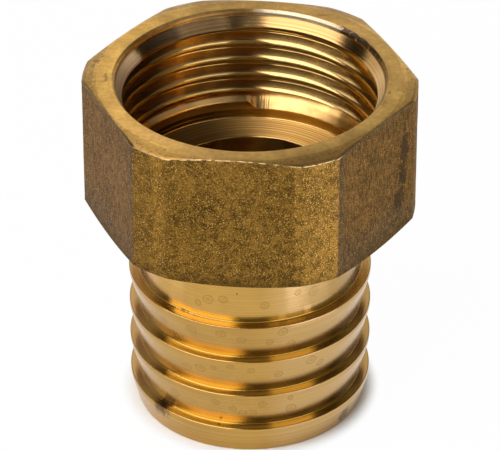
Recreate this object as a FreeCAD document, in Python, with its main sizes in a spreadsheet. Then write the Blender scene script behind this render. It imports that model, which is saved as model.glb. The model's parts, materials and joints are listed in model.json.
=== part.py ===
"""Brass pipe adapter: a hexagonal collar with a female pipe thread, above a barbed hose spigot.

The adapter is one turned and milled piece. Its axis is Z, its origin is the centre of the spigot's end
face, the threaded mouth points to +Z, and one flat of the hexagon faces -Y. Sizes are in millimetres.
"""

import FreeCAD, Part

import os

import Sketcher

# Each driving dimension is one that a drawing of the adapter would state.
DIMENSIONS = {
    # Hexagonal collar, with its corners rounded and both of its faces bevelled
    "across_flats": 37.4,
    "collar_diameter": 40.6,
    "collar_height": 17.75,
    "top_face_diameter": 36.9,
    "top_bevel_drop": 0.46,
    "under_face_diameter": 37.4,
    "under_bevel_rise": 0.6,
    # Barbed spigot, from its end face up to the collar
    "end_barb_height": 3.65,
    "barb_pitch": 5.04,
    "barb_count": 4,
    "barb_diameter": 30.0,
    "barb_land": 0.6,
    "groove_diameter": 27.7,
    "groove_bevel": 0.4,
    "neck_diameter": 27.5,
    "neck_length": 8.5,
    "neck_bevel": 0.4,
    # Waterway through the spigot
    "waterway_diameter": 22.0,
    "waterway_bevel": 0.4,
    # Socket in the collar, bored at 30.75 mm for a right-hand pipe thread of 11 turns to the inch. The
    # widths of the thread's crest and root put its flanks at 55 degrees to each other.
    "thread_crest_diameter": 30.75,
    "thread_root_diameter": 33.25,
    "thread_pitch": 2.309,
    "thread_crest_width": 0.62,
    "thread_root_width": 0.39,
    "thread_start_angle": 83.0,
    "thread_start_gap": 0.05,
    "mouth_diameter": 33.2,
    "mouth_bevel": 0.33,
    "mouth_land": 0.4,
    "lead_depth": 2.0,
    "socket_depth": 15.1,
    # Relief groove below the thread: a floor under the last turn, and a slope down to the bore
    "relief_diameter": 33.9,
    "relief_floor_width": 0.35,
    "relief_width": 1.93,
    "relief_height": 1.9,
}

# A cutting outline runs this far past a face that it leaves the metal through.
OVERRUN = 1.0
# A thread cutter reaches this far inside the crests of the thread.
CUTTER_REACH = 0.3


def size(alias):
    return f"<<sizes>>.{alias}"


def radius(alias):
    return f"<<sizes>>.{alias} / 2"


# Heights above the end face that follow from the driving dimensions
FIRST_BARB = f"({size('end_barb_height')} + ({size('barb_count')} - 1) * {size('barb_pitch')})"
COLLAR_FOOT = f"({FIRST_BARB} + {size('neck_length')})"
COLLAR_TOP = f"({COLLAR_FOOT} + {size('collar_height')})"
SOCKET_FLOOR = f"({COLLAR_TOP} - {size('socket_depth')})"
RELIEF_FOOT = f"({SOCKET_FLOOR} + {size('relief_height')})"
RELIEF_TOP = f"({RELIEF_FOOT} + {size('relief_width')})"
LEAD_FOOT = f"({COLLAR_TOP} - {size('lead_depth')})"

# Half of the thread groove's width at the crests, and the height at which the groove starts
GROOVE_MOUTH = f"(({size('thread_pitch')} - {size('thread_crest_width')}) / 2)"
GROOVE_START = f"({RELIEF_TOP} - {GROOVE_MOUTH} - {size('thread_start_gap')})"


def add_sizes(doc):
    """Spreadsheet with a name and a number in each row."""
    sheet = doc.addObject("Spreadsheet::Sheet", "sizes")
    for row, (alias, value) in enumerate(DIMENSIONS.items(), start=1):
        sheet.set(f"A{row}", alias)
        sheet.set(f"B{row}", str(value))
        sheet.setAlias(f"B{row}", alias)
    doc.recompute()


def add_sketch(body, name, plane_role):
    """Sketch on one of the body's own origin planes."""
    plane = next(item for item in body.Origin.OriginFeatures if item.Role == plane_role)
    sketch = body.newObject("Sketcher::SketchObject", name)
    sketch.AttachmentSupport = [(plane, "")]
    sketch.MapMode = "FlatFace"
    return sketch


def hold(sketch, kind, edge, end, name, expression):
    """Hold one coordinate of a sketch point at an expression."""
    value = float(sketch.evalExpression(expression))
    index = sketch.addConstraint(Sketcher.Constraint(kind, -1, 1, edge, end, value))
    sketch.renameConstraint(index, name)
    sketch.setExpression(f"Constraints.{name}", expression)


def draw_outline(sketch, corners):
    """Closed outline of straight edges, with each corner held at a pair of expressions, across and up."""
    points = [FreeCAD.Vector(*(float(sketch.evalExpression(text)) for text in corner), 0) for corner in corners]
    edges = [sketch.addGeometry(Part.LineSegment(points[number - 1], end)) for number, end in enumerate(points)]
    for number, (edge, next_edge) in enumerate(zip(edges, edges[1:] + edges[:1])):
        sketch.addConstraint(Sketcher.Constraint("Coincident", edge, 2, next_edge, 1))
        hold(sketch, "DistanceX", edge, 2, f"across_{number}", corners[number][0])
        hold(sketch, "DistanceY", edge, 2, f"up_{number}", corners[number][1])


def turn_blank(body):
    """Round blank: spigot, neck and collar, with a bevelled corner at each end of the neck."""
    neck, bevel = radius("neck_diameter"), size("neck_bevel")
    sketch = add_sketch(body, "blank_outline", "XZ_Plane")
    draw_outline(sketch, [
        ("0", "0"),
        (radius("barb_diameter"), "0"),
        (radius("barb_diameter"), FIRST_BARB),
        (f"{neck} + {bevel}", FIRST_BARB),
        (neck, f"{FIRST_BARB} + {bevel}"),
        (neck, f"{COLLAR_FOOT} - {bevel}"),
        (f"{neck} + {bevel}", COLLAR_FOOT),
        (radius("under_face_diameter"), COLLAR_FOOT),
        (radius("collar_diameter"), f"{COLLAR_FOOT} + {size('under_bevel_rise')}"),
        (radius("collar_diameter"), f"{COLLAR_TOP} - {size('top_bevel_drop')}"),
        (radius("top_face_diameter"), COLLAR_TOP),
        ("0", COLLAR_TOP),
    ])
    blank = body.newObject("PartDesign::Revolution", "blank")
    blank.Profile = sketch
    blank.ReferenceAxis = (sketch, ["V_Axis"])
    blank.Angle = 360


def mill_flats(body):
    """Six flats: what lies outside the hexagon comes off the collar."""
    corner_radius = f"{radius('across_flats')} / cos(30 deg)"
    sketch = add_sketch(body, "flats_outline", "XY_Plane")
    sketch.setExpression("AttachmentOffset.Base.z", f"{COLLAR_TOP} + {OVERRUN}")
    draw_outline(sketch, [
        (f"{corner_radius} * cos({60 * corner} deg)", f"{corner_radius} * sin({60 * corner} deg)")
        for corner in range(6)
    ])
    rim_radius = f"{corner_radius} + {radius('collar_diameter')}"
    circle = Part.Circle(FreeCAD.Vector(), FreeCAD.Vector(0, 0, 1), float(sketch.evalExpression(rim_radius)))
    rim = sketch.addGeometry(circle)
    sketch.addConstraint(Sketcher.Constraint("Coincident", -1, 1, rim, 3))
    index = sketch.addConstraint(Sketcher.Constraint("Radius", rim, circle.Radius))
    sketch.renameConstraint(index, "rim_radius")
    sketch.setExpression("Constraints.rim_radius", rim_radius)
    flats = body.newObject("PartDesign::Pocket", "flats")
    flats.Profile = sketch
    flats.setExpression("Length", f"{size('collar_height')} + {2 * OVERRUN}")


def turn_barbs(body):
    """One groove under the first barb, repeated down the spigot. The last one runs out at the end face."""
    foot = f"({FIRST_BARB} - {size('barb_pitch')})"
    floor, bevel = radius("groove_diameter"), size("groove_bevel")
    land_foot = f"{FIRST_BARB} - {size('barb_land')}"
    clear = f"{radius('barb_diameter')} + {OVERRUN}"
    sketch = add_sketch(body, "groove_outline", "XZ_Plane")
    draw_outline(sketch, [
        (clear, land_foot),
        (radius("barb_diameter"), land_foot),
        (floor, f"{foot} + {bevel}"),
        (f"{floor} + {bevel}", foot),
        (clear, foot),
    ])
    groove = body.newObject("PartDesign::Groove", "barb_groove")
    groove.Profile = sketch
    groove.ReferenceAxis = (sketch, ["V_Axis"])
    groove.Angle = 360
    barbs = body.newObject("PartDesign::LinearPattern", "barbs")
    barbs.Originals = [groove]
    barbs.Direction = (sketch, ["V_Axis"])
    barbs.Reversed = True
    barbs.Mode = "Spacing"
    barbs.setExpression("Offset", size("barb_pitch"))
    barbs.setExpression("Occurrences", size("barb_count"))
    body.Tip = barbs


def bore_socket(body):
    """Waterway, socket floor, relief groove, thread bore, lead-in cone and mouth in one cut."""
    waterway, bevel = radius("waterway_diameter"), size("waterway_bevel")
    crest, relief = radius("thread_crest_diameter"), radius("relief_diameter")
    mouth, mouth_bevel = radius("mouth_diameter"), size("mouth_bevel")
    land_top = f"{COLLAR_TOP} - {mouth_bevel}"
    sketch = add_sketch(body, "socket_outline", "XZ_Plane")
    draw_outline(sketch, [
        ("0", f"-{OVERRUN}"),
        (f"{waterway} + {bevel} + {OVERRUN}", f"-{OVERRUN}"),
        (waterway, bevel),
        (waterway, SOCKET_FLOOR),
        (crest, SOCKET_FLOOR),
        (crest, RELIEF_FOOT),
        (relief, f"{RELIEF_TOP} - {size('relief_floor_width')}"),
        (relief, RELIEF_TOP),
        (crest, RELIEF_TOP),
        (crest, LEAD_FOOT),
        (f"{mouth} - {mouth_bevel}", f"{land_top} - {size('mouth_land')}"),
        (f"{mouth} - {mouth_bevel}", land_top),
        (f"{mouth} + {OVERRUN}", f"{COLLAR_TOP} + {OVERRUN}"),
        ("0", f"{COLLAR_TOP} + {OVERRUN}"),
    ])
    socket = body.newObject("PartDesign::Groove", "socket")
    socket.Profile = sketch
    socket.ReferenceAxis = (sketch, ["V_Axis"])
    socket.Angle = 360


def cut_thread(body):
    """Helical groove, from inside the relief groove up through the mouth."""
    crest, root = radius("thread_crest_diameter"), radius("thread_root_diameter")
    inner = f"{crest} - {CUTTER_REACH}"
    half_root = f"{size('thread_root_width')} / 2"
    sketch = add_sketch(body, "thread_outline", "XZ_Plane")
    sketch.AttachmentOffset = FreeCAD.Placement(FreeCAD.Vector(), FreeCAD.Rotation(FreeCAD.Vector(0, 1, 0), 1))
    sketch.setExpression("AttachmentOffset.Rotation.Angle", size("thread_start_angle"))
    draw_outline(sketch, [
        (inner, f"{GROOVE_START} - {GROOVE_MOUTH}"),
        (crest, f"{GROOVE_START} - {GROOVE_MOUTH}"),
        (root, f"{GROOVE_START} - {half_root}"),
        (root, f"{GROOVE_START} + {half_root}"),
        (crest, f"{GROOVE_START} + {GROOVE_MOUTH}"),
        (inner, f"{GROOVE_START} + {GROOVE_MOUTH}"),
    ])
    thread = body.newObject("PartDesign::SubtractiveHelix", "thread")
    thread.Profile = sketch
    thread.ReferenceAxis = (sketch, ["V_Axis"])
    thread.Mode = "pitch-height-angle"
    thread.setExpression("Pitch", size("thread_pitch"))
    thread.setExpression("Height", f"{COLLAR_TOP} + {size('thread_pitch')} - {GROOVE_START}")
    thread.Angle = 0
    thread.LeftHanded = False
    thread.Refine = False


def build_adapter(doc):
    body = doc.addObject("PartDesign::Body", "adapter_body")
    body.Label = "adapter_body"
    for step in (turn_blank, mill_flats, turn_barbs, bore_socket, cut_thread):
        before = body.Shape.Volume if body.Shape and not body.Shape.isNull() else 0.0
        step(body)
        doc.recompute()
        print(f"{step.__name__}: {before:.1f} to {body.Shape.Volume:.1f} cubic mm")
    return body


def check(doc, solids):
    for item in doc.Objects:
        if "Invalid" in item.State or "Error" in item.State:
            raise RuntimeError(f"{item.Name} failed: {item.State}")
    for solid in solids:
        if solid.Shape.isNull() or not solid.Shape.isValid() or len(solid.Shape.Solids) != 1:
            raise RuntimeError(f"{solid.Label} isn't one valid solid")


def main():
    doc = FreeCAD.newDocument("pipe_adapter")
    add_sizes(doc)
    adapter = build_adapter(doc)
    check(doc, [adapter])
    os.makedirs("parts", exist_ok=True)
    adapter.Shape.exportStep(f"parts/{adapter.Label}.step")


main()
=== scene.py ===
"""Studio scene of a brass pipe adapter.

A hexagonal collar with a female thread stands on a barbed hose spigot. The adapter is modelled here as
one closed mesh, a section carried round its axis, with the edges, the thread and the wear of the real
one. Lengths are in metres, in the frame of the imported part.
"""

import json
import math

import bmesh
import bpy
import numpy as np
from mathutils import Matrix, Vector, noise


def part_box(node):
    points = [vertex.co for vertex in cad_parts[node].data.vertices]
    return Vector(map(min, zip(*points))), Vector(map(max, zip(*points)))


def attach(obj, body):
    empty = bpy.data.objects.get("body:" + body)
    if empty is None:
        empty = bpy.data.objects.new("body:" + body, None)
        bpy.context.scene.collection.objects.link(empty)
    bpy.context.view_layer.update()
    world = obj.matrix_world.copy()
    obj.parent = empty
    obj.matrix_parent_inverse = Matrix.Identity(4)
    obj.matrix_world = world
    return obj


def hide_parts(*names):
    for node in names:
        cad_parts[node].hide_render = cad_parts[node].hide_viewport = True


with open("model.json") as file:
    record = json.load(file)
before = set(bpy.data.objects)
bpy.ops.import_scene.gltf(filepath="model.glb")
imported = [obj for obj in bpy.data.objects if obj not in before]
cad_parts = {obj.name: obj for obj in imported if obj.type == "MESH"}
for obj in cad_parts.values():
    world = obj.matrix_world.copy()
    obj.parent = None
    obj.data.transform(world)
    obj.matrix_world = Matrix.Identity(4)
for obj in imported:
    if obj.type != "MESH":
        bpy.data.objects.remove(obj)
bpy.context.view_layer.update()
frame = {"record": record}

MM = 0.001
NODE = "adapter_body"

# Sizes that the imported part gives
high_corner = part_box(NODE)[1]
mounts = {mount["name"]: mount for mount in frame["record"]["mounts"]}


def mount_radius(name):
    return mounts[name]["dims"]["r_mm"] * MM


def mount_end(name, side):
    """Height of a mount's upper (side 1) or lower (side -1) end."""
    mount = mounts[name]
    return mount["pos_m"][2] + side * mount["dims"]["length_mm"] * MM / 2


TOP = high_corner.z
COLLAR_RADIUS = high_corner.x
APOTHEM = high_corner.y
CREST_RADIUS = mount_radius("socket_thread")
BARB_RADIUS = mount_radius("hose_spigot")
WATERWAY_RADIUS = mount_radius("waterway")
LEAD_FOOT = mount_end("socket_thread", 1)
SOCKET_FLOOR = mount_end("socket_thread", -1)
FIRST_BARB = mount_end("hose_spigot", 1)

# Hexagonal collar
COLLAR_FOOT = FIRST_BARB + 8.5 * MM
TOP_FACE_RADIUS = 18.45 * MM
TOP_BEVEL_DROP = 0.46 * MM
UNDER_FACE_RADIUS = 18.62 * MM
UNDER_BEVEL_RISE = 0.6 * MM
RIM_INSET = 0.06 * MM
BURR_INSET = 0.01 * MM
BURR_HEIGHT = 0.1 * MM
WALL_FOOT_INSET = 0.03 * MM
WALL_FOOT_HEIGHT = 0.1 * MM

# Barbed spigot
BARB_COUNT = 4
BARB_PITCH = 5.04 * MM
BARB_LAND = 0.6 * MM
GROOVE_RADIUS = 13.85 * MM
NECK_RADIUS = 13.75 * MM
FILLET = 0.12 * MM
WATERWAY_BEVEL = 0.4 * MM
END_FACE_MIDDLE = 12.65 * MM

# Socket: mouth, lead-in cone, thread, relief groove and lip
MOUTH_RADIUS = 16.6 * MM
MOUTH_BEVEL = 0.33 * MM
MOUTH_LAND = 0.4 * MM
ROOT_RADIUS = 16.625 * MM
THREAD_PITCH = 2.309 * MM
THREAD_ROOT = 0.32 * MM
WORN_CREST = ((0, 0.01 * MM), (0.12 * MM, 0.03 * MM), (0.3 * MM, 0.11 * MM), (0.48 * MM, 0.31 * MM))
CREST_EDGE = 0.33 * MM
CREST_UNDERSIDE = 0.98 * MM
CREST_BEARING = math.radians(96.0)
CREST_HEIGHT = 38.42 * MM
THREAD_END_DROP = 0.5 * MM
LEAD_FOOT_ROUNDING = 0.32 * MM
LEAD_FOOT_DROP = 0.3 * MM
RELIEF_RADIUS = 16.95 * MM
RELIEF_FLOOR_WIDTH = 0.35 * MM
RELIEF_FOOT = SOCKET_FLOOR + 1.9 * MM
RELIEF_TOP = RELIEF_FOOT + 1.93 * MM
RELIEF_LIP = RELIEF_FOOT - 0.58 * MM
WATERWAY_EDGE = 0.25 * MM

# Run-out of the thread's cutter in the wall below the relief groove: bearings, two ridges and a step
RUNOUT_BEARINGS = (94.5, 95.7, 190, 230)
RUNOUT_DEPTH = 0.06 * MM
RIDGE_DEPTH = 0.01 * MM
RIDGE_DROPS = (0.74 * MM, 0.05 * MM)
RIDGE_HALF_WIDTH = 0.12 * MM
RIDGE_ROUNDING = 0.05 * MM
RIDGE_FOOT_ROUNDING = 0.03 * MM
STEP_DEPTH = 0.05 * MM
STEP_RISE = 0.95 * MM
SLOPE_RISE = 0.6 * MM

# Wear of the surface: how deep each kind is, and the size of its features
DENT_DEPTH, DENT_SIZE = 0.022 * MM, 2.2 * MM
WAVE_DEPTH, WAVE_SIZE = 0.02 * MM, 7 * MM
NICK_DEPTH, NICK_DROP, NICK_SIZE = 0.13 * MM, 0.16 * MM, 0.6 * MM
CHIP_DEPTH, CHIP_SIZE, CHIP_REACH = 0.14 * MM, 0.5 * MM, 0.3 * MM
HOLE_CHIP_DEPTH, HOLE_CHIP_SIZE = 0.16 * MM, 0.45 * MM
HOLE_CHIP_HEIGHT, HOLE_CHIP_WIDTH = 0.08 * MM, 0.12 * MM

# Camera of the photograph: it looks down at the middle of the adapter, a little to the right of one flat
CAMERA_BEARING = math.radians(-83.9)
CAMERA_ELEVATION = math.radians(33.4)
CAMERA_DISTANCE = 456.4 * MM
CAMERA_TARGET = Vector((0, 0, 23.85 * MM))
LENS = 266.7
RIGHT_OF_CAMERA = CAMERA_BEARING + math.pi / 2

# Finishes, in the order of the mesh's material slots
FORGED, FACED, REAMED, THREADED, BORED, RINGED, TURNED, BURRED = range(8)


# Mesh of the adapter

FLAT_COUNT = 6
FLAT_STEP = math.tau / FLAT_COUNT
FLAT_EDGE = math.acos(APOTHEM / COLLAR_RADIUS)
SOFT_EDGE = 0.16 * MM
SHARP_EDGE = 0.03 * MM
EDGE_ZONE = math.radians(1.2)
FLAT_COLUMNS = 14
CORNER_COLUMNS = 5


def column_bearings():
    """Bearings of the mesh's columns, closer together where a flat meets the turned corner."""
    half_flat = np.concatenate([
        np.linspace(0, FLAT_EDGE - EDGE_ZONE, FLAT_COLUMNS),
        FLAT_EDGE + np.radians([-0.7, -0.3, 0.0, 0.3, 0.7]),
        np.linspace(FLAT_EDGE + EDGE_ZONE, FLAT_STEP / 2, CORNER_COLUMNS)[:-1],
    ])
    sector = np.concatenate([[-FLAT_STEP / 2], -half_flat[:0:-1], half_flat])
    first = -math.pi / 2
    bearings = np.concatenate([first + step * FLAT_STEP + sector for step in range(FLAT_COUNT)])
    return np.append(bearings, bearings[0] + math.tau)


def wall_radius(bearings):
    """Radius of the collar's wall: six flats, with the corners cut off by a cylinder.

    The edges of the front and back flats are soft, and the others are sharp.
    """
    step = np.round((bearings + math.pi / 2) / FLAT_STEP)
    turn = bearings + math.pi / 2 - step * FLAT_STEP
    flat = APOTHEM / np.cos(turn)
    softness = np.where(step % (FLAT_COUNT // 2) == 0, SOFT_EDGE, SHARP_EDGE)
    gap = np.abs(flat - COLLAR_RADIUS)
    return np.minimum(COLLAR_RADIUS, flat) - softness * np.log1p(np.exp(-gap / softness))


def setback(corner, neighbour, rounding):
    """Point where the rounding of a corner starts, on the edge to its neighbour."""
    edge = neighbour - corner
    length = np.maximum(np.hypot(*edge), 1e-9)
    return corner + edge * np.minimum(rounding / length, 0.45)


def rounded_corner(before, corner, after, rounding, strips):
    """Points round a corner, from one edge to the other."""
    start, end = setback(corner, before, rounding), setback(corner, after, rounding)
    return [
        (1 - share) ** 2 * start + 2 * share * (1 - share) * corner + share ** 2 * end
        for share in np.linspace(0, 1, strips + 1)
    ]


class Section:
    """Rows of the adapter's mesh. Each row is a ring: a radius and a height at every column."""

    def __init__(self, columns):
        self.columns = columns
        self.rows = []
        self.finishes = []

    def ring(self, radius, height, finish):
        """One row, and the finish of the strip that follows it."""
        spread = np.ones(self.columns)
        self.rows.append((radius * spread, height * spread))
        self.finishes.append(finish)

    def path(self, corners, finish):
        """Rows along an outline.

        Each corner is a radius, a height, a rounding and a count of strips after it. The last corner
        only gives the direction of the last edge: the next path starts there.
        """
        spread = np.ones(self.columns)
        points = [np.array((radius * spread, height * spread)) for radius, height, _, _ in corners]
        last = points[0]
        for number, (_, _, rounding, strips) in enumerate(corners[:-1]):
            point, after = points[number], points[number + 1]
            if number > 0 and rounding > 0:
                turn = rounded_corner(points[number - 1], point, after, rounding, 4)
                for row in turn[:-1]:
                    self.ring(row[0], row[1], finish)
                last = turn[-1]
            else:
                last = point
            end = setback(after, point, corners[number + 1][2]) if number + 2 < len(corners) else after
            for share in np.arange(strips) / strips:
                row = last + share * (end - last)
                self.ring(row[0], row[1], finish)


def barb_taper_radius(depth):
    """Radius of a barb at a depth below its shoulder."""
    taper = (BARB_RADIUS - GROOVE_RADIUS) / (BARB_PITCH - BARB_LAND)
    return BARB_RADIUS - taper * max(depth - BARB_LAND, 0)


def spigot_radius(height):
    """Radius of the spigot's surface at a height."""
    if height > FIRST_BARB:
        return NECK_RADIUS
    return barb_taper_radius((FIRST_BARB - height) % BARB_PITCH)


def spigot_outline():
    """Neck and barbs, from the collar's foot down to the end face."""
    corners = [(NECK_RADIUS, COLLAR_FOOT, FILLET, 5), (NECK_RADIUS, FIRST_BARB, FILLET, 3)]
    for barb in range(BARB_COUNT):
        shoulder = FIRST_BARB - barb * BARB_PITCH
        foot = max(shoulder - BARB_PITCH, 0)
        corners.append((BARB_RADIUS, shoulder, 0.13 * MM, 2))
        corners.append((BARB_RADIUS, shoulder - BARB_LAND, 0.12 * MM, 7))
        corners.append((barb_taper_radius(shoulder - foot), foot, FILLET if foot > 0 else 0.1 * MM, 3))
    return corners


def socket_wall(bearings):
    """Wall from the socket's floor up to the relief groove.

    Left of the far middle the thread's cutter has run out into it: it leaves two fine ridges, and a step
    below the groove.
    """
    left = np.interp(np.degrees(bearings) % 360, RUNOUT_BEARINGS, [0, 1, 1, 0])
    wall = CREST_RADIUS + RUNOUT_DEPTH * left
    ridge = CREST_RADIUS + RIDGE_DEPTH * left
    corners = [(wall, SOCKET_FLOOR, 0, 2)]
    for drop in RIDGE_DROPS:
        height = RELIEF_LIP - drop
        corners.append((wall, height - RIDGE_HALF_WIDTH, RIDGE_FOOT_ROUNDING, 1))
        corners.append((ridge, height, RIDGE_ROUNDING, 1))
        corners.append((wall, height + RIDGE_HALF_WIDTH, RIDGE_FOOT_ROUNDING, 1))
    corners[-1] = (ridge, RELIEF_LIP + 0.04 * MM, RIDGE_FOOT_ROUNDING, 1)
    step_height = RELIEF_LIP + 0.06 * MM + STEP_RISE * left
    slope_height = RELIEF_LIP + 1.15 * MM + SLOPE_RISE * left
    corners.append((ridge + STEP_DEPTH * left, step_height, 0.14 * MM, 5))
    corners.append((CREST_RADIUS + 0.7 * MM, slope_height, 0.3 * MM, 1))
    return corners


def thread_profile():
    """Heights and depths across one turn of the thread, from the middle of a crest up to the next.

    The upper side of a crest is worn round, and its lower edge is sharp.
    """
    depth = ROOT_RADIUS - CREST_RADIUS
    corners = np.array([
        *WORN_CREST,
        (THREAD_PITCH - CREST_UNDERSIDE - THREAD_ROOT, depth),
        (THREAD_PITCH - CREST_UNDERSIDE, depth),
        (THREAD_PITCH - CREST_EDGE, 0),
        (THREAD_PITCH, WORN_CREST[0][1]),
    ])
    roundings = [0.1 * MM, 0.1 * MM, 0.1 * MM, 0.08 * MM, 0.08 * MM, 0.05 * MM]
    profile = [corners[0]]
    for number, rounding in enumerate(roundings, start=1):
        profile += rounded_corner(corners[number - 1], corners[number], corners[number + 1], rounding, 2)
    return np.array(profile)


def lead_foot_heights(bearings):
    """The foot of the lead-in cone lies lower along the left of the far wall."""
    turn = np.degrees(bearings - CAMERA_BEARING) % 360
    drop = np.interp(turn, [180, 186, 270, 320], [0, 1, 1, 0])
    return LEAD_FOOT - LEAD_FOOT_DROP * drop


def thread_rows(section, bearings):
    """Rows that follow the thread's helix, held between the relief groove and the lead-in cone.

    Gives the last row, which the rounded foot of the cone follows.
    """
    profile = thread_profile()
    lead_foot = lead_foot_heights(bearings)
    full_depth = lead_foot - THREAD_END_DROP
    climb = THREAD_PITCH * (bearings - bearings[0]) / math.tau
    start = CREST_HEIGHT + THREAD_PITCH * (bearings[0] - CREST_BEARING) / math.tau
    turns_below = math.ceil((start + THREAD_PITCH - RELIEF_TOP) / THREAD_PITCH)
    turns_above = math.ceil((LEAD_FOOT - start) / THREAD_PITCH)

    def radius(height):
        turns = (height - CREST_HEIGHT) / THREAD_PITCH - (bearings - CREST_BEARING) / math.tau
        return CREST_RADIUS + np.interp(turns % 1 * THREAD_PITCH, profile[:, 0], profile[:, 1])

    for turn in range(-turns_below, turns_above):
        for station in profile[:, 0]:
            height = np.clip(start + turn * THREAD_PITCH + station + climb, RELIEF_TOP, full_depth)
            section.ring(radius(height), height, THREADED)
    worn_radius = CREST_RADIUS + 0.15 * (radius(full_depth) - CREST_RADIUS)
    under_edge = worn_radius, lead_foot - LEAD_FOOT_ROUNDING
    section.ring(radius(full_depth), full_depth, THREADED)
    section.ring(*under_edge, THREADED)
    return under_edge


def bevel_height(height, face_radius, wall):
    """Height that a turned bevel of the collar has gained where it meets the wall."""
    return height * (wall - face_radius) / (COLLAR_RADIUS - face_radius)


def build_rows(bearings):
    """Whole section: up the thread, over the rim, down the outside, and back up the waterway."""
    wall = wall_radius(bearings)
    section = Section(len(bearings))
    under_edge = thread_rows(section, bearings)
    land = MOUTH_RADIUS - MOUTH_BEVEL
    land_foot = TOP - MOUTH_BEVEL - MOUTH_LAND
    section.path([
        (*under_edge, 0, 0),
        (CREST_RADIUS, lead_foot_heights(bearings), LEAD_FOOT_ROUNDING, 7),
        (land, land_foot, 0, 0),
    ], REAMED)
    high_edge = TOP - bevel_height(TOP_BEVEL_DROP, TOP_FACE_RADIUS, wall)
    section.path([
        (land, land_foot, 0, 3),
        (land, TOP - MOUTH_BEVEL, 0.1 * MM, 2),
        (MOUTH_RADIUS, TOP, 0.1 * MM, 5),
        (TOP_FACE_RADIUS, TOP, 0.12 * MM, 3),
        (wall - RIM_INSET, high_edge, 0, 0),
    ], FACED)
    section.path([
        (wall - RIM_INSET, high_edge, 0, 2),
        (wall - BURR_INSET, high_edge - BURR_HEIGHT, 0, 0),
    ], BURRED)
    low_edge = COLLAR_FOOT + bevel_height(UNDER_BEVEL_RISE, UNDER_FACE_RADIUS, wall)
    section.path([
        (wall - BURR_INSET, high_edge - BURR_HEIGHT, 0, 26),
        (wall, low_edge + WALL_FOOT_HEIGHT, 0, 1),
        (wall - WALL_FOOT_INSET, low_edge, 0, 0),
    ], FORGED)
    section.path([
        (wall - WALL_FOOT_INSET, low_edge, 0, 2),
        (UNDER_FACE_RADIUS, COLLAR_FOOT, 0.1 * MM, 4),
        *spigot_outline(),
        (WATERWAY_RADIUS + WATERWAY_BEVEL, 0, 0, 0),
    ], TURNED)
    section.path([
        (WATERWAY_RADIUS + WATERWAY_BEVEL, 0, 0, 1),
        (WATERWAY_RADIUS, WATERWAY_BEVEL, 0.08 * MM, 9),
        (WATERWAY_RADIUS, SOCKET_FLOOR - WATERWAY_EDGE, 0, 2),
        (WATERWAY_RADIUS, SOCKET_FLOOR, 0, 0),
    ], BORED)
    wall_corners = socket_wall(bearings)
    section.path([
        (WATERWAY_RADIUS, SOCKET_FLOOR, 0, 8),
        wall_corners[0],
    ], RINGED)
    section.path([
        *wall_corners,
        (RELIEF_RADIUS, RELIEF_TOP - RELIEF_FLOOR_WIDTH, 0.15 * MM, 1),
        (RELIEF_RADIUS, RELIEF_TOP, 0.05 * MM, 1),
        (section.rows[0][0], RELIEF_TOP, 0, 0),
    ], BORED)
    return section


def layered_noise(place, scale, seed):
    """Noise between -1 and 1, with a finer layer."""
    spot = Vector(place) / scale + Vector((seed, 2.0 * seed, -seed))
    return 0.7 * noise.noise(spot) + 0.3 * noise.noise(2.3 * spot)


def noise_over(places, scale, seed):
    flat = [layered_noise(place, scale, seed) for place in places.reshape(-1, 3)]
    return np.array(flat).reshape(places.shape[:-1])


def outward(bearing):
    """Unit vector that points away from the axis."""
    return Vector((math.cos(bearing), math.sin(bearing), 0))


def near(values, middle, reach):
    """1 at the middle, and less the further a value is from it."""
    return np.exp(-(((values - middle) / reach) ** 2))


def wear_surface(places, finishes, bearings):
    """Uneven flats, nicks in their top edge, and chips in the edges of the mouth and the waterway."""
    forged = [row for row, finish in enumerate(finishes) if finish == FORGED]
    skin = places[forged]
    dents = DENT_DEPTH * (1 + noise_over(skin, DENT_SIZE, 3))
    waves = WAVE_DEPTH * (1 + noise_over(skin, WAVE_SIZE, 8))
    ways = np.array([outward(bearing) for bearing in bearings])
    places[forged] = skin - (dents + waves)[..., None] * ways

    edge = slice(forged[0] - 1, forged[0] + 2)
    nick = np.maximum(noise_over(places[edge], NICK_SIZE, 5) + 0.1, 0)
    places[edge] -= NICK_DEPTH * nick[..., None] * ways
    places[edge, :, 2] -= NICK_DROP * nick

    stretch = np.interp(np.degrees(bearings - RIGHT_OF_CAMERA) % 360, [22, 27, 44, 47], [0, 1, 1, 0])
    near_edge = near(places[..., 2], TOP, CHIP_REACH)
    radii = np.hypot(places[..., 0], places[..., 1])
    near_edge *= near(radii, MOUTH_RADIUS, CHIP_REACH)
    chips = CHIP_DEPTH * stretch * near_edge * np.maximum(noise_over(places, CHIP_SIZE, 9) + 0.25, 0)
    near_hole = near(places[..., 2], SOCKET_FLOOR, HOLE_CHIP_HEIGHT)
    near_hole *= near(radii, WATERWAY_RADIUS, HOLE_CHIP_WIDTH)
    chips += HOLE_CHIP_DEPTH * near_hole * (0.6 + noise_over(places, HOLE_CHIP_SIZE, 12))
    places += 0.7 * chips[..., None] * ways
    places[..., 2] -= 0.7 * np.maximum(chips, 0)


def link(obj):
    bpy.context.scene.collection.objects.link(obj)
    return obj


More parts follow.
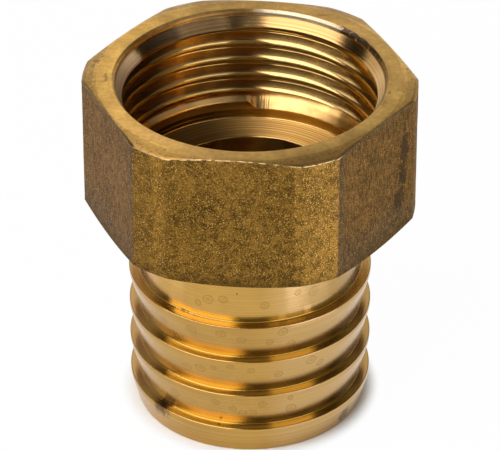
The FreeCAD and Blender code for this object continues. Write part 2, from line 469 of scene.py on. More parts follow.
def build_adapter():
    bearings = column_bearings()
    section = build_rows(bearings)
    radii = np.array([row[0] for row in section.rows])
    heights = np.array([row[1] for row in section.rows])
    places = np.stack([radii * np.cos(bearings), radii * np.sin(bearings), heights], axis=-1)
    wear_surface(places, section.finishes, bearings)
    rows, columns = radii.shape
    mesh_maker = bmesh.new()
    corners = [[mesh_maker.verts.new(place) for place in row] for row in places[:, :-1]]
    for row in range(rows):
        after = (row + 1) % rows
        for column in range(columns - 1):
            beside = (column + 1) % (columns - 1)
            quad = ((row, column), (after, column), (after, beside), (row, beside))
            face = mesh_maker.faces.new([corners[along][around] for along, around in quad])
            face.material_index = section.finishes[row]
            face.smooth = True
    bmesh.ops.remove_doubles(mesh_maker, verts=mesh_maker.verts, dist=0.5e-6)
    bmesh.ops.recalc_face_normals(mesh_maker, faces=mesh_maker.faces)
    mesh = bpy.data.meshes.new("brass_adapter")
    mesh_maker.to_mesh(mesh)
    mesh_maker.free()
    adapter = link(bpy.data.objects.new("brass_adapter", mesh))
    shading = adapter.modifiers.new("even_shading", "WEIGHTED_NORMAL")
    shading.keep_sharp = False
    return adapter


# Shader nodes

class Tree:
    """A node tree under construction. Its methods add nodes and give their result."""

    def __init__(self, tree):
        self.tree = tree

    def node(self, kind, feeds=(), **settings):
        """Add a node. Each input is fed a number, a colour or another node's output."""
        node = self.tree.nodes.new(kind)
        for name, value in settings.items():
            setattr(node, name, value)
        for socket, value in feeds:
            self.feed(node.inputs[socket], value)
        return node

    def feed(self, socket, value):
        if isinstance(value, bpy.types.NodeSocket):
            self.tree.links.new(value, socket)
        else:
            socket.default_value = value

    def math(self, operation, *values):
        return self.node("ShaderNodeMath", enumerate(values), operation=operation).outputs[0]

    def vector(self, operation, *values):
        return self.node("ShaderNodeVectorMath", enumerate(values), operation=operation).outputs[0]

    def measure(self, operation, *values):
        """Number that an operation on vectors gives."""
        return self.node("ShaderNodeVectorMath", enumerate(values), operation=operation).outputs["Value"]

    def product(self, first, second):
        return self.math("MULTIPLY", first, second)

    def scaled(self, value, factor, added):
        return self.math("MULTIPLY_ADD", value, factor, added)

    def gap(self, value, middle):
        """How far a value is from a middle."""
        return self.math("ABSOLUTE", self.math("SUBTRACT", value, middle))

    def noise(self, place, size, detail=2):
        """Noise about 0.5, with features of this size in millimetres."""
        feeds = (("Vector", place), ("Scale", 1 / size), ("Detail", detail))
        return self.node("ShaderNodeTexNoise", feeds).outputs["Fac"]

    def span(self, value, low, high, start=0, end=1):
        """Smooth step from start to end as the value goes from low to high."""
        names = ("Value", "From Min", "From Max", "To Min", "To Max")
        feeds = zip(names, (value, low, high, start, end))
        return self.node("ShaderNodeMapRange", feeds, interpolation_type="SMOOTHSTEP").outputs["Result"]

    def blend(self, share, first, second):
        """Colour between the first and the second."""
        feeds = ((0, share), (6, first), (7, second))
        return self.node("ShaderNodeMix", feeds, data_type="RGBA").outputs[2]

    def dim(self, colour, factor):
        """Colour times a number."""
        feeds = ((0, colour), ("Scale", factor))
        return self.node("ShaderNodeVectorMath", feeds, operation="SCALE").outputs[0]

    def most(self, values):
        """The largest of some values."""
        largest = values[0]
        for value in values[1:]:
            largest = self.math("MAXIMUM", largest, value)
        return largest

    def group(self, name, feeds=()):
        """Place one of the shader node groups and give its outputs."""
        return self.node("ShaderNodeGroup", feeds, node_tree=bpy.data.node_groups[name]).outputs


def new_group(name, vectors, numbers, made_numbers=("Mask",), made_vectors=()):
    """Empty shader node group: its tree, its input sockets and the function that sets its outputs."""
    group = bpy.data.node_groups.new(name, "ShaderNodeTree")
    for way, kind, sockets in (
        ("INPUT", "NodeSocketVector", vectors),
        ("INPUT", "NodeSocketFloat", numbers),
        ("OUTPUT", "NodeSocketVector", made_vectors),
        ("OUTPUT", "NodeSocketFloat", made_numbers),
    ):
        for socket in sockets:
            group.interface.new_socket(socket, in_out=way, socket_type=kind)
    tree = Tree(group)
    ends = tree.node("NodeGroupOutput")

    def give(socket, value):
        tree.feed(ends.inputs[socket], value)

    return tree, tree.node("NodeGroupInput").outputs, give


def make_lathe_place():
    """Place on the adapter in millimetres, and its radius, height and bearing in degrees."""
    tree, _, give = new_group("lathe_place", (), (), ("Radius", "Height", "Bearing"), ("Place",))
    coordinates = tree.node("ShaderNodeTexCoord").outputs["Object"]
    place = tree.dim(coordinates, 1 / MM)
    x, y, z = tree.node("ShaderNodeSeparateXYZ", ((0, place),)).outputs
    give("Place", place)
    give("Radius", tree.math("SQRT", tree.math("ADD", tree.product(x, x), tree.product(y, y))))
    give("Height", z)
    give("Bearing", tree.math("DEGREES", tree.math("ARCTAN2", y, x)))


def make_turning_marks():
    """Fine rings that a lathe leaves, on faces that look any way."""
    tree, given, give = new_group("turning_marks", (), ("Radius", "Height", "Spacing"), ("Relief",))
    across = tree.node("ShaderNodeCombineXYZ", ((0, given["Radius"]), (1, given["Height"]))).outputs[0]
    marks = tree.dim(across, tree.math("DIVIDE", 1, given["Spacing"]))
    give("Relief", tree.noise(marks, 1, 3))


def make_chatter():
    """Fine ridges across the cut, where the tool trembled: they run up the wall, with a slant."""
    tree, given, give = new_group("chatter", (), ("Bearing", "Height", "Spacing", "Slant"), ("Relief",))
    slanted = tree.scaled(given["Height"], given["Slant"], given["Bearing"])
    ridges = tree.math("DIVIDE", slanted, given["Spacing"])
    across = tree.node("ShaderNodeCombineXYZ", ((0, ridges), (1, tree.product(given["Height"], 0.25))))
    give("Relief", tree.noise(across.outputs[0], 1, 1))


def make_specks():
    """Small scattered specks."""
    tree, given, give = new_group("specks", ("Place",), ("Size", "Threshold"))
    scaled = tree.dim(given["Place"], tree.math("DIVIDE", 1, given["Size"]))
    full = tree.math("ADD", given["Threshold"], 0.05)
    give("Mask", tree.span(tree.noise(scaled, 1, 1), given["Threshold"], full))


def make_water_spot():
    """Mark of a dried drop: a thin uneven ring with a faint middle."""
    tree, given, give = new_group("water_spot", ("Place", "Centre"), ("Size",))
    away = tree.measure("DISTANCE", given["Place"], given["Centre"])
    wobble = tree.scaled(tree.noise(given["Place"], 1.0, 2), 0.5, -0.25)
    off_ring = tree.gap(tree.math("ADD", away, wobble), given["Size"])
    ring = tree.span(off_ring, 0.16, 0.0, 0, 0.9)
    middle = tree.span(away, given["Size"], 0.0, 0.1, 0.6)
    give("Mask", tree.math("MAXIMUM", ring, middle))


def make_blot():
    """Blot with a ragged edge, stretched by a different size in each direction."""
    tree, given, give = new_group("blot", ("Place", "Centre", "Sizes"), ())
    offset = tree.vector("SUBTRACT", given["Place"], given["Centre"])
    offset = tree.vector("DIVIDE", offset, given["Sizes"])
    ragged = tree.scaled(tree.noise(given["Place"], 0.45, 3), 1.8, -0.9)
    away = tree.math("ADD", tree.measure("DISTANCE", offset, (0, 0, 0)), ragged)
    give("Mask", tree.span(away, 1, 0.55))


def make_scratch():
    """Straight scratch between two points."""
    tree, given, give = new_group("scratch", ("Place", "Start", "End"), ("Width",))
    run = tree.vector("SUBTRACT", given["End"], given["Start"])
    reach = tree.vector("SUBTRACT", given["Place"], given["Start"])
    along = tree.measure("DOT_PRODUCT", reach, run)
    whole = tree.measure("DOT_PRODUCT", run, run)
    share = tree.node("ShaderNodeClamp", ((0, tree.math("DIVIDE", along, whole)),)).outputs[0]
    away = tree.measure("DISTANCE", reach, tree.dim(run, share))
    give("Mask", tree.span(away, given["Width"], 0))


# Marks on the adapter: bearings in degrees round the axis, radii and heights in millimetres

WATER_SPOTS = (
    (-105.5, 21.5), (-97.5, 22.0), (-111.2, 20.7), (-50.1, 21.9), (-130.1, 16.6), (-124.0, 15.4),
    (-97.8, 17.6), (-87.9, 16.8), (-74.5, 16.2), (-68.2, 17.8), (-63.3, 15.5), (-83.6, 12.4),
    (-112.6, 17.3), (-76.3, 21.2), (-93.1, 12.9), (-108.4, 11.8), (-70.2, 11.4), (-59.1, 22.3),
    (-116.4, 11.2), (-92.3, 6.4), (-101.4, 12.3), (-53.6, 12.6), (-47.6, 11.5), (-145.9, 6.8),
    (-122.8, 6.6), (-100.5, 7.2), (-87.6, 5.7), (-83.2, 5.7), (-78.0, 7.3), (-64.5, 7.8),
    (-63.7, 5.9), (-54.0, 5.0), (30.0, 21.0), (64.0, 16.5), (108.0, 7.0), (150.0, 12.0),
    (175.0, 21.5),
)
SPOT_SIZES = (0.6, 0.48, 0.38)

# Bearings in degrees that a change of colour is centred on: all but CHIPPED_MOUTH and LEFT_BEVEL place
# painted highlights and painted shade
RIGHT_SIDE = 10
RIGHT_PAINTED_HIGHLIGHT = -57.2
LEFT_PAINTED_HIGHLIGHT = -113.5
LEFT_BEVEL = -122
LIT_MOUTH = 65
LIT_CONE = 64
CHIPPED_MOUTH = 37
BURR_FRONT = -83
SPIGOT_FRONT = -84


def mark(bearing, radius, height):
    """Point in millimetres of a mark's bearing, radius and height."""
    return tuple(radius * outward(math.radians(bearing)) + Vector((0, 0, height)))


# Finishes: colours of the metal, of what lies on it, and of painted light and shade; one material for
# each way of working

BRASS = (0.66, 0.4, 0.095, 1)
DULL_BRASS = (0.5, 0.295, 0.066, 1)
THREAD_BRASS = (0.7, 0.46, 0.105, 1)
CONE_PAINTED_SHADE = (0.15, 0.092, 0.025, 1)
CONE_PAINTED_DEEP_SHADE = (0.38, 0.25, 0.085, 1)
BROWN_TARNISH = (0.11, 0.06, 0.022, 1)
CONE_PAINTED_LIGHT = (0.9, 0.64, 0.25, 1)
FORGED_GOLD = (0.31, 0.166, 0.025, 1)
FORGED_BROWN = (0.2, 0.104, 0.026, 1)
DARK_OXIDE = (0.078, 0.042, 0.008, 1)
GREY_OXIDE = (0.08, 0.044, 0.015, 1)
DULL_GREY = (0.078, 0.06, 0.034, 1)
BRIGHT_GRAIN = (0.58, 0.34, 0.08, 1)
FORGED_SHEEN = (0.87, 0.74, 0.6, 1)
RUBBED_EDGE = (0.62, 0.36, 0.08, 1)
BLACK_STAIN = (0.04, 0.028, 0.015, 1)
DEEP_RIM = (0.54, 0.31, 0.066, 1)
PALE_RIM = (0.68, 0.395, 0.087, 1)
GOLD_BEVEL = (0.56, 0.33, 0.05, 1)
MOUTH_PAINTED_GLINT = (0.72, 0.58, 0.24, 1)
EDGE_TARNISH = (0.24, 0.13, 0.034, 1)
TORN_EDGE = (0.13, 0.085, 0.035, 1)
DULL_BURR = (0.2, 0.13, 0.045, 1)
BURR_PAINTED_HIGHLIGHT = (0.95, 0.68, 0.26, 1)
CONE_PAINTED_HIGHLIGHT = (0.68, 0.43, 0.1, 1)
CONE_PAINTED_BRIGHT_HIGHLIGHT = (1.0, 0.7, 0.22, 1)
RELIEF_PAINTED_LIGHT = (0.95, 0.58, 0.13, 1)
DEEP_RING = (0.62, 0.36, 0.06, 1)
BRIGHT_RING = (1, 0.66, 0.16, 1)
DEEP_SPIGOT = (0.6, 0.345, 0.09, 1)
WARM_SPIGOT = (0.66, 0.385, 0.095, 1)
SPIGOT_PAINTED_LIGHT = (0.7, 0.435, 0.155, 1)
FRONT_BARB_FOOT_REFLECTION = (0.7, 0.47, 0.1, 1)
SIDE_BARB_FOOT_REFLECTION = (0.65, 0.385, 0.11, 1)
NECK_PAINTED_SHADE = (0.5, 0.31, 0.1, 1)
DRIED_DROP = (0.34, 0.19, 0.045, 1)


class Finish(Tree):
    """Brass material of one finish. Its place on the adapter is at hand for the patterns."""

    def __init__(self, name, constants):
        self.material = bpy.data.materials.new(name)
        self.material.use_nodes = True
        super().__init__(self.material.node_tree)
        self.shader = self.tree.nodes["Principled BSDF"]
        self.shader.inputs["Metallic"].default_value = 1
        for socket, value in constants.items():
            self.shader.inputs[socket].default_value = value
        self.place, self.radius, self.height, self.bearing = self.group("lathe_place")
        self.colour = None
        if "Anisotropic" in constants:
            self.spread_reflections()

    def spread_reflections(self):
        """Reflections spread across the tool marks, which run round the axis."""
        tangent = self.node("ShaderNodeTangent", direction_type="RADIAL", axis="Z").outputs[0]
        self.feed(self.shader.inputs["Tangent"], tangent)
        self.shader.inputs["Anisotropic Rotation"].default_value = 0.25

    def paint(self, share, colour, strength=None):
        """Lay another colour over a share of the metal."""
        if strength is not None:
            share = self.product(share, strength)
        self.colour = self.blend(share, self.colour, colour)

    def shade(self, factor):
        """Make the metal darker or brighter."""
        self.colour = self.dim(self.colour, factor)

    def cloud(self, size, detail):
        return self.noise(self.place, size, detail)

    def turning(self, spacing):
        feeds = (("Radius", self.radius), ("Height", self.height), ("Spacing", spacing))
        return self.group("turning_marks", feeds)["Relief"]

    def chatter(self, spacing, slant, first, last):
        """Ridges over a range of bearings."""
        here = (("Bearing", self.bearing), ("Height", self.height))
        ridges = self.group("chatter", (*here, ("Spacing", spacing), ("Slant", slant)))["Relief"]
        middle, half = (first + last) / 2, (last - first) / 2
        return self.product(ridges, self.span(self.gap(self.bearing, middle), half, 0.6 * half))

    def mask(self, name, *feeds):
        """Mask of one of the groups that are laid over the adapter's place."""
        return self.group(name, (("Place", self.place), *feeds))["Mask"]

    def specks(self, size, threshold):
        return self.mask("specks", ("Size", size), ("Threshold", threshold))

    def water_spot(self, middle, size):
        return self.mask("water_spot", ("Centre", mark(*middle)), ("Size", size))

    def blots(self, places):
        """Blots, each with its middle and its sizes along X, Y and Z."""
        return self.most([
            self.mask("blot", ("Centre", mark(*middle)), ("Sizes", sizes))
            for middle, sizes in places
        ])

    def scratches(self, ends, width):
        """Scratches, each with its two ends."""
        return self.most([
            self.mask("scratch", ("Start", mark(*start)), ("End", mark(*end)), ("Width", width))
            for start, end in ends
        ])

    def bump(self, relief, depth, below=None):
        """Normal of a relief whose full height is this depth in millimetres."""
        feeds = [("Height", relief), ("Distance", depth * MM), ("Strength", 1.0)]
        if below is not None:
            feeds.append(("Normal", below))
        return self.node("ShaderNodeBump", feeds).outputs[0]

    def wear(self, roughness, normal):
        """Join the patterns to the shader and give the material."""
        self.feed(self.shader.inputs["Base Color"], self.colour)
        if roughness is not None:
            self.feed(self.shader.inputs["Roughness"], roughness)
        self.feed(self.shader.inputs["Normal"], normal)
        return self.material


def forged_hexagon():
    """Matt forged skin: olive gold with fine bright grains, browner and greyer on the side flats."""
    skin = Finish("forged_hexagon", {"Specular Tint": FORGED_SHEEN})
    x, y, _ = skin.node("ShaderNodeSeparateXYZ", ((0, skin.place),)).outputs
    aside = skin.math("ARCTAN2", skin.math("ABSOLUTE", x), skin.math("ABSOLUTE", y))
    cloud = skin.cloud(0.9, 4)
    broad = skin.cloud(5, 3)
    grain = skin.cloud(0.13, 2)
    strip_end = FLAT_STEP - FLAT_EDGE
    side = skin.span(aside, strip_end - 0.01, strip_end + 0.01)
    in_front = skin.math("SUBTRACT", 1, side)
    dark = skin.blend(side, DARK_OXIDE, GREY_OXIDE)
    bright = skin.blend(side, FORGED_GOLD, FORGED_BROWN)
    level = skin.scaled(cloud, 0.55, skin.scaled(broad, 0.35, grain))
    skin.colour = skin.blend(skin.span(level, 0.72, 1.2), dark, bright)
    off_top = skin.scaled(skin.radius, 0.25, skin.height)
    near_front = skin.scaled(broad, 0.1, aside)
    greyed = skin.most([
        skin.span(near_front, strip_end + 0.14, strip_end + 0.06),
        skin.span(skin.scaled(broad, 6, skin.height), 36, 32),
        skin.span(skin.scaled(broad, 3, off_top), 50.2, 51),
    ])
    greyed = skin.product(greyed, skin.product(side, 0.5))
    skin.paint(greyed, DULL_GREY)
    # Painted light: the side flats on the right made brighter
    on_right = skin.product(side, skin.span(x, 0, 8, 0, 0.22))
    skin.shade(skin.math("ADD", on_right, 1))
    drawn_out = skin.noise(skin.vector("MULTIPLY", skin.place, (1, 1, 0.3)), 0.3, 3)
    streaks = skin.math("SUBTRACT", drawn_out, 0.5)
    skin.shade(skin.scaled(streaks, skin.product(side, 2.4), 1))
    grains = skin.product(skin.specks(0.17, 0.62), skin.scaled(side, -0.25, 0.85))
    skin.paint(grains, BRIGHT_GRAIN)
    # Painted highlights: a ragged strip at the right corner of the front and a band near the front
    # flat's left end
    ragged = skin.scaled(cloud, 5, skin.bearing)
    strip = skin.span(skin.gap(ragged, RIGHT_PAINTED_HIGHLIGHT), 9.2, 8.2)
    band = skin.span(skin.gap(ragged, LEFT_PAINTED_HIGHLIGHT), 4, 1, 0, 0.7)
    lit = skin.product(skin.math("MAXIMUM", strip, band), in_front)
    skin.shade(skin.scaled(lit, 0.4, 1))
    low = skin.span(skin.math("ADD", skin.height, skin.product(cloud, 3)), 31.5, 28)
    skin.paint(low, DARK_OXIDE, 0.6)
    rubbed = skin.span(skin.math("ADD", off_top, skin.product(cloud, 2)), 50.3, 51.1, 0, 0.8)
    skin.paint(skin.product(rubbed, in_front), RUBBED_EDGE)
    stain = skin.blots((
        ((-12.6, 19.3, 39.0), (1.0, 1.0, 3.0)),
        ((-13.6, 19.3, 35.4), (0.9, 0.9, 2.8)),
        ((-15.6, 19.3, 32.5), (1.3, 1.3, 1.9)),
    ))
    skin.paint(stain, BLACK_STAIN, 0.75)
    scores = skin.scratches((
        ((-44.3, 19.3, 32.0), (-43.4, 19.3, 30.6)),
        ((-25.0, 19.3, 37.2), (-21.5, 19.3, 37.0)),
        ((-37.0, 19.3, 41.0), (-36.2, 19.3, 39.6)),
        ((-81.2, 19.0, 43.9), (-80.5, 19.0, 42.9)),
    ), 0.1)
    skin.paint(scores, BRASS, 0.7)
    normal = skin.bump(skin.math("ADD", grain, cloud), 0.035)
    return skin.wear(skin.span(grain, 0.3, 0.7, 0.64, 0.5), normal)


def faced_rim():
    """Turned top face and mouth: satin yellow brass with rings, scratches, smudges and small pits."""
    skin = Finish("faced_rim", {"Anisotropic": 0.8})
    cloud = skin.cloud(3.5, 3)
    mottle = skin.cloud(0.6, 4)
    skin.colour = skin.blend(skin.span(cloud, 0.3, 0.7), DEEP_RIM, PALE_RIM)
    x = skin.node("ShaderNodeSeparateXYZ", ((0, skin.place),)).outputs[0]
    # Painted light: the left of the top face made brighter and the rest dimmer
    skin.shade(skin.span(x, -17, -3, 1.55, 0.88))
    skin.shade(skin.span(mottle, 0.3, 0.7, 0.86, 1.08))
    on_bevel = skin.span(skin.radius, 18.4, 18.7)
    on_left = skin.span(skin.gap(skin.bearing, LEFT_BEVEL), 18, 12, 0, 0.85)
    skin.paint(skin.product(on_bevel, on_left), GOLD_BEVEL)
    # Painted highlights: the right edge and the right bevel of the top face made brighter
    skin.shade(skin.span(x, 15.5, 19.5, 1, 1.3))
    right_bevel = skin.product(on_bevel, skin.span(x, 8, 14, 0, 0.38))
    skin.shade(skin.math("ADD", right_bevel, 1))
    # Painted glint: a pale patch inside the mouth about the bearing LIT_MOUTH
    in_mouth = skin.span(skin.radius, 16.65, 16.5)
    lit = skin.span(skin.gap(skin.bearing, LIT_MOUTH), 32, 24)
    skin.paint(skin.product(in_mouth, lit), MOUTH_PAINTED_GLINT)
    rings = skin.turning(0.14)
    skin.shade(skin.span(rings, 0.25, 0.75, 0.86, 1.0))
    lengthwise = skin.noise(skin.vector("MULTIPLY", skin.place, (1, 0.1, 1)), 0.13, 1)
    crosswise = skin.noise(skin.vector("MULTIPLY", skin.place, (0.15, 1, 1)), 0.15, 1)
    scored = skin.span(skin.math("MAXIMUM", lengthwise, crosswise), 0.68, 0.74, 0, 0.5)
    smudges = skin.blots((
        ((173.6, 19.1, 45.0), (0.6, 0.45, 0.5)),
        ((170.5, 18.6, 45.0), (0.35, 0.3, 0.5)),
        ((176.5, 19.2, 45.0), (0.3, 0.5, 0.5)),
        ((-173.0, 17.3, 45.0), (0.22, 0.8, 0.5)),
        ((-176.0, 17.4, 45.0), (0.25, 0.5, 0.5)),
        ((-5.8, 17.0, 45.0), (0.3, 0.5, 0.5)),
        ((65.6, 17.4, 45.0), (0.8, 0.25, 0.5)),
    ))
    ring = skin.water_spot((-2.0, 18.4, 45.0), 0.45)
    ragged = skin.scaled(skin.cloud(0.5, 4), -2.2, skin.radius)
    rough_edge = skin.span(ragged, 17.2, 18.2)
    pits = skin.product(skin.specks(0.3, 0.6), skin.scaled(rough_edge, 0.75, 0.25))
    nicks = skin.scratches((
        ((85.7, 17.8, 45.0), (84.6, 16.3, 44.9)),
        ((95.4, 16.9, 45.0), (95.0, 16.4, 44.8)),
        ((170.0, 19.4, 45.0), (175.5, 18.6, 45.0)),
        ((-174.6, 17.0, 45.0), (-174.0, 17.6, 45.0)),
        ((-171.4, 17.0, 45.0), (-170.8, 17.7, 45.0)),
    ), 0.12)
    marked = skin.most([smudges, skin.product(ring, 0.7), pits, nicks, scored])
    skin.paint(rough_edge, EDGE_TARNISH, 0.4)
    skin.paint(marked, BROWN_TARNISH, 0.55)
    width = skin.span(skin.bearing, 34, 39, 0.12, 0.3)
    off_edge = skin.math("SUBTRACT", skin.gap(skin.radius, 16.4), width)
    torn = skin.product(skin.span(off_edge, 0.08, 0), skin.span(mottle, 0.36, 0.46))
    chipped = skin.span(skin.gap(skin.bearing, CHIPPED_MOUTH), 18, 15)
    skin.paint(skin.product(torn, chipped), TORN_EDGE)
    relief = skin.math("SUBTRACT", rings, skin.product(marked, 2))
    roughness = skin.span(cloud, 0.3, 0.7, 0.42, 0.34)
    return skin.wear(roughness, skin.bump(relief, 0.008))


def burred_edge():
    """Narrow burr between the faced rim and the forged flats: dull, with a ragged painted highlight in
    front.
    """
    skin = Finish("burred_edge", {})
    gaps = skin.cloud(0.6, 3)
    # Painted highlight in ragged patches where the burr faces the camera
    in_front = skin.span(skin.gap(skin.bearing, BURR_FRONT), 33, 30)
    bright = skin.product(skin.span(gaps, 0.44, 0.56), in_front)
    skin.colour = skin.blend(bright, DULL_BURR, BURR_PAINTED_HIGHLIGHT)
    relief = skin.cloud(0.25, 2)
    return skin.wear(skin.span(gaps, 0.4, 0.6, 0.55, 0.4), skin.bump(relief, 0.08))


def reamed_cone():
    """Lead-in cone: satin rings and nicks, a painted highlight on the right, painted shade and light to
    the left.
    """
    skin = Finish("reamed_cone", {"Anisotropic": 0.6, "Roughness": 0.21})
    cloud = skin.cloud(2.5, 3)
    nicks = skin.scratches((
        ((104.8, 15.9, 43.1), (104.3, 15.8, 42.6)),
        ((104.6, 15.9, 42.9), (102.1, 15.9, 42.8)),
        ((83.3, 15.9, 43.3), (83.1, 15.8, 42.6)),
    ), 0.14)
    to_left = skin.gap(skin.bearing, RIGHT_SIDE)
    ragged = skin.scaled(cloud, 12, to_left)
    # Painted shade on the side away from the right, deepest further round, and painted light on the left
    skin.colour = skin.blend(skin.span(ragged, 88, 108), BRASS, CONE_PAINTED_SHADE)
    skin.paint(skin.span(ragged, 122, 132), CONE_PAINTED_DEEP_SHADE)
    on_left = skin.span(ragged, 150, 156)
    skin.paint(on_left, CONE_PAINTED_LIGHT)
    # Painted highlight on the right, palest nearest the right
    on_right = skin.span(ragged, 34, 24)
    painted_highlight_colour = skin.blend(skin.span(skin.bearing, 24, 12), CONE_PAINTED_HIGHLIGHT, CONE_PAINTED_BRIGHT_HIGHLIGHT)
    skin.paint(on_right, painted_highlight_colour)
    # Painted shade over the lit part of the cone about LIT_CONE
    skin.shade(skin.span(skin.gap(skin.bearing, LIT_CONE), 28, 20, 1, 0.8))
    # The painted light and the painted highlight are made less metallic
    less_metallic = skin.math("MAXIMUM", on_left, on_right)
    skin.feed(skin.shader.inputs["Metallic"], skin.scaled(less_metallic, -0.65, 1))
    grooves = skin.turning(0.35)
    skin.shade(skin.span(grooves, 0.35, 0.65, 0.62, 1.0))
    skin.paint(nicks, BROWN_TARNISH, 0.8)
    rings = skin.bump(skin.math("SUBTRACT", grooves, nicks), 0.05)
    return skin.wear(None, rings)


def cut_thread():
    """Cut thread: smooth bright metal, with ridges where the tool trembled."""
    skin = Finish("cut_thread", {"Anisotropic": 0.9, "Roughness": 0.2})
    cloud = skin.cloud(2.5, 3)
    nicks = skin.scratches((((92.8, 16.2, 33.9), (92.7, 16.2, 33.0)),), 0.14)
    dulled = skin.product(skin.span(cloud, 0.45, 0.7), 0.12)
    skin.colour = skin.blend(dulled, THREAD_BRASS, DULL_BRASS)
    skin.paint(nicks, BROWN_TARNISH, 0.7)
    to_left = skin.gap(skin.bearing, RIGHT_SIDE)
    # Painted shade on the side away from the right, darkest on the left
    skin.shade(skin.span(to_left, 112, 132, 1, 0.5))
    rings = skin.bump(skin.turning(0.11), 0.003)
    ridges = skin.chatter(0.8, 3.0, 40, 88)
    return skin.wear(None, skin.bump(ridges, 0.014, rings))


def bored_wall():
    """Bored inside: a smooth wall, the relief groove and the waterway."""
    skin = Finish("bored_wall", {"Anisotropic": 0.8, "Roughness": 0.22})
    cloud = skin.cloud(2.5, 3)
    floor_z, lip_z = SOCKET_FLOOR / MM, RELIEF_LIP / MM
    on_relief = skin.span(skin.height, lip_z - 0.1, lip_z)
    on_wall = skin.math("SUBTRACT", skin.span(skin.height, floor_z + 0.1, floor_z + 0.3), on_relief)
    skin.colour = skin.blend(skin.span(cloud, 0.3, 0.7), THREAD_BRASS, DULL_BRASS)
    # Painted shade: the wall in the recess below the relief groove made darker
    skin.shade(skin.scaled(on_wall, -0.55, 1))
    to_left = skin.gap(skin.bearing, RIGHT_SIDE)
    # Painted light on the relief groove on the left
    relief_light = skin.product(on_relief, skin.span(to_left, 92, 112))
    skin.paint(relief_light, RELIEF_PAINTED_LIGHT)
    # Painted shade on the far left
    skin.shade(skin.span(to_left, 112, 135, 1, 0.6))
    notch = skin.scratches((
        ((92.8, 16.3, 33.6), (92.7, 16.1, 32.6)),
        ((92.6, 15.6, 31.9), (92.6, 15.5, 30.9)),
    ), 0.16)
    skin.paint(notch, BROWN_TARNISH, 0.7)
    fine = skin.bump(skin.turning(0.12), 0.003)
    ridges = skin.product(skin.chatter(0.7, 0.0, 62, 128), on_relief)
    return skin.wear(None, skin.bump(ridges, 0.011, fine))


def ringed_floor():
    """Floor of the socket, with coarse bright rings."""
    skin = Finish("ringed_floor", {"Anisotropic": 0.8, "Roughness": 0.6})
    rings = skin.turning(0.3)
    skin.colour = skin.blend(skin.span(rings, 0.35, 0.65), DEEP_RING, BRIGHT_RING)
    to_left = skin.gap(skin.bearing, RIGHT_SIDE)
    # Painted light on the right of the floor and painted shade on the left
    skin.shade(skin.span(to_left, 62, 115, 1.15, 0.32))
    return skin.wear(None, skin.bump(rings, 0.08))


def turned_spigot():
    """Turned neck and barbs: satin rings with dried drops and stains."""
    skin = Finish("turned_spigot", {"Anisotropic": 0.6, "Roughness": 0.2})
    cloud = skin.cloud(4, 3)
    rings = skin.turning(0.16)
    skin.colour = skin.blend(skin.span(cloud, 0.3, 0.7), DEEP_SPIGOT, WARM_SPIGOT)
    # Painted light: the spigot paler from the front's right round to the back
    skin.paint(skin.span(skin.bearing, -80, -64), SPIGOT_PAINTED_LIGHT)
    down = skin.math("SUBTRACT", FIRST_BARB / MM, skin.height)
    turns_down = skin.math("FRACT", skin.math("DIVIDE", down, BARB_PITCH / MM))
    # Painted reflection: another colour at the foot of each barb and on its shoulder, one facing the
    # camera and one at the sides
    near_foot = skin.most([skin.span(turns_down, 0.78, 0.92), skin.span(turns_down, 0.012, 0.005)])
    near_foot = skin.product(near_foot, skin.span(skin.height, 20.4, 20.2))
    turned = skin.gap(skin.bearing, SPIGOT_FRONT)
    off_camera = skin.math("SUBTRACT", 180, skin.gap(turned, 180))
    foot_reflection_colour = skin.blend(skin.span(off_camera, 60, 75), FRONT_BARB_FOOT_REFLECTION, SIDE_BARB_FOOT_REFLECTION)
    skin.paint(near_foot, foot_reflection_colour)
    less_metallic = skin.product(skin.span(off_camera, 45, 62), skin.span(off_camera, 125, 100))
    skin.feed(skin.shader.inputs["Metallic"], skin.scaled(less_metallic, -0.25, 1))
    skin.shade(skin.span(skin.height, 18, 20.1, 0.84, 0.95))
    # Painted shade on a patch of the neck right of the front
    painted_neck_shade = skin.product(skin.span(skin.height, 19.9, 20.1), skin.span(skin.bearing, -61, -50))
    skin.paint(painted_neck_shade, NECK_PAINTED_SHADE)
    skin.shade(skin.span(rings, 0.3, 0.7, 0.86, 1.06))
    spots = []
    for number, (bearing, height) in enumerate(WATER_SPOTS):
        middle = (bearing, spigot_radius(height * MM) / MM, height)
        spots.append(skin.water_spot(middle, SPOT_SIZES[number % len(SPOT_SIZES)]))
    skin.paint(skin.most(spots), DRIED_DROP, 0.75)
    stains = skin.blots((
        ((-131.5, 14.5, 3.2), (1.6, 1.6, 1.2)),
        ((-30.7, 14.3, 1.5), (1.2, 1.2, 1.3)),
        ((-119.3, 13.9, 18.9), (0.8, 0.8, 0.13)),
        ((-99.3, 14.4, 3.6), (0.25, 0.25, 0.2)),
        ((-78.5, 14.4, 3.5), (0.25, 0.25, 0.15)),
        ((-90.5, 13.75, 22.9), (0.12, 0.12, 0.2)),
    ))
    trickle = skin.scratches((((-130.0, 14.5, 3.0), (-125.0, 14.2, 1.1)),), 0.3)
    stained = skin.math("MAXIMUM", stains, skin.product(trickle, 0.6))
    skin.paint(stained, BROWN_TARNISH, 0.8)
    return skin.wear(None, skin.bump(rings, 0.008))


# Studio: a white floor, softboxes and cards about the adapter, and the camera of the photograph

WHITE = (1, 1, 1, 1)
BOX_LIGHT = (0.98, 0.95, 1.5)
TABLE_LIGHT = (0.95, 1, 1.4)
FLOOR_COLOUR = (0.9, 0.93, 0.6)
CARD_BLACK = (0.02, 0.02, 0.02)
CARD_STEPS = 24
FLOOR_HALF_WIDTH = 1.5
FLOOR_GAP = 0.02 * MM

# Where the floor fades: from the shadow to plain white, and out of the clear ring under the end face
SHADOW_EDGE = (BARB_RADIUS - 0.8 * MM, BARB_RADIUS + 1.5 * MM)
CLEAR_EDGE = (1.0 * MM, 0.8 * MM)


